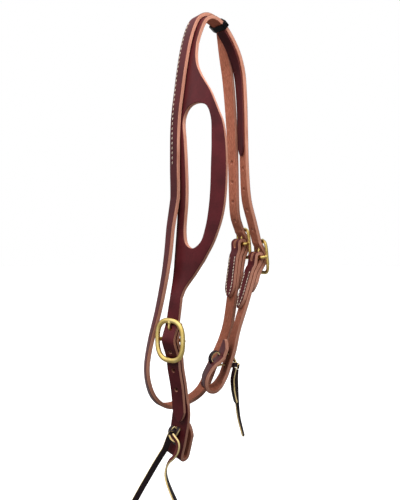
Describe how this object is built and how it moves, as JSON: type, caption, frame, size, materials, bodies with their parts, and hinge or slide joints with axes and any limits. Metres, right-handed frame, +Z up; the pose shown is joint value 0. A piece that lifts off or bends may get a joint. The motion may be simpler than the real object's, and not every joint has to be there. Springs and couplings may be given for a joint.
{
  "type": "western headstall",
  "caption": "Slot-ear western headstall in heavy leather straps with a throat strap, brass buckles and laced bit ends, hanging by its crown.",
  "frame": {"origin": "the highest point inside the crown, where the headstall rests on the horse's poll or on a peg", "axes": "+X towards the horse's nose, +Z up, -Y the horse's near (left) side"},
  "size_m": [0.1413, 0.1576, 0.5671],
  "materials": {
    "strap_leather": "oiled burgundy grain with natural tan edges",
    "lining_leather": "oiled burgundy grain",
    "lace_leather": "near-black lace leather with pale cut edges",
    "brass": "polished solid brass"
  },
  "bodies": {
    "headstall": {"cheek_and_crown_strap": "strap_leather", "throat_strap": "strap_leather", "near_bit_strap": "strap_leather", "far_billet_liner": "lining_leather", "crown_keeper": "lace_leather", "near_conway_buckle": "brass", "far_cheek_buckle": "brass", "far_throat_buckle": "brass", "near_tie_knot": "lace_leather", "near_lace_long_tail": "lace_leather", "near_lace_short_tail": "lace_leather"},
    "far_lower_cheek": {"far_cheek_lower_strap": "strap_leather", "far_tie_knot": "lace_leather", "far_lace_front_tail": "lace_leather", "far_lace_back_tail": "lace_leather"},
    "cheek_tongue": {"far_cheek_tongue": "brass"},
    "throat_tongue": {"far_throat_tongue": "brass"}
  },
  "joints": [
    {"name": "far_lower_cheek_swing", "type": "hinge", "parent": "headstall", "child": "far_lower_cheek", "pos_m": [0.01106, 0.07415, -0.26841], "axis": [0.9397, -0.342, 0], "range_deg": [-12, 0]},
    {"name": "far_cheek_tongue_play", "type": "hinge", "parent": "headstall", "child": "cheek_tongue", "pos_m": [0.01106, 0.07415, -0.26841], "axis": [0.9397, -0.342, 0], "range_deg": [-2.5, 0]},
    {"name": "far_throat_tongue_play", "type": "hinge", "parent": "headstall", "child": "throat_tongue", "pos_m": [-0.01536, 0.07251, -0.25239], "axis": [0.9613, -0.2756, 0], "range_deg": [-5, 0]}
  ]
}
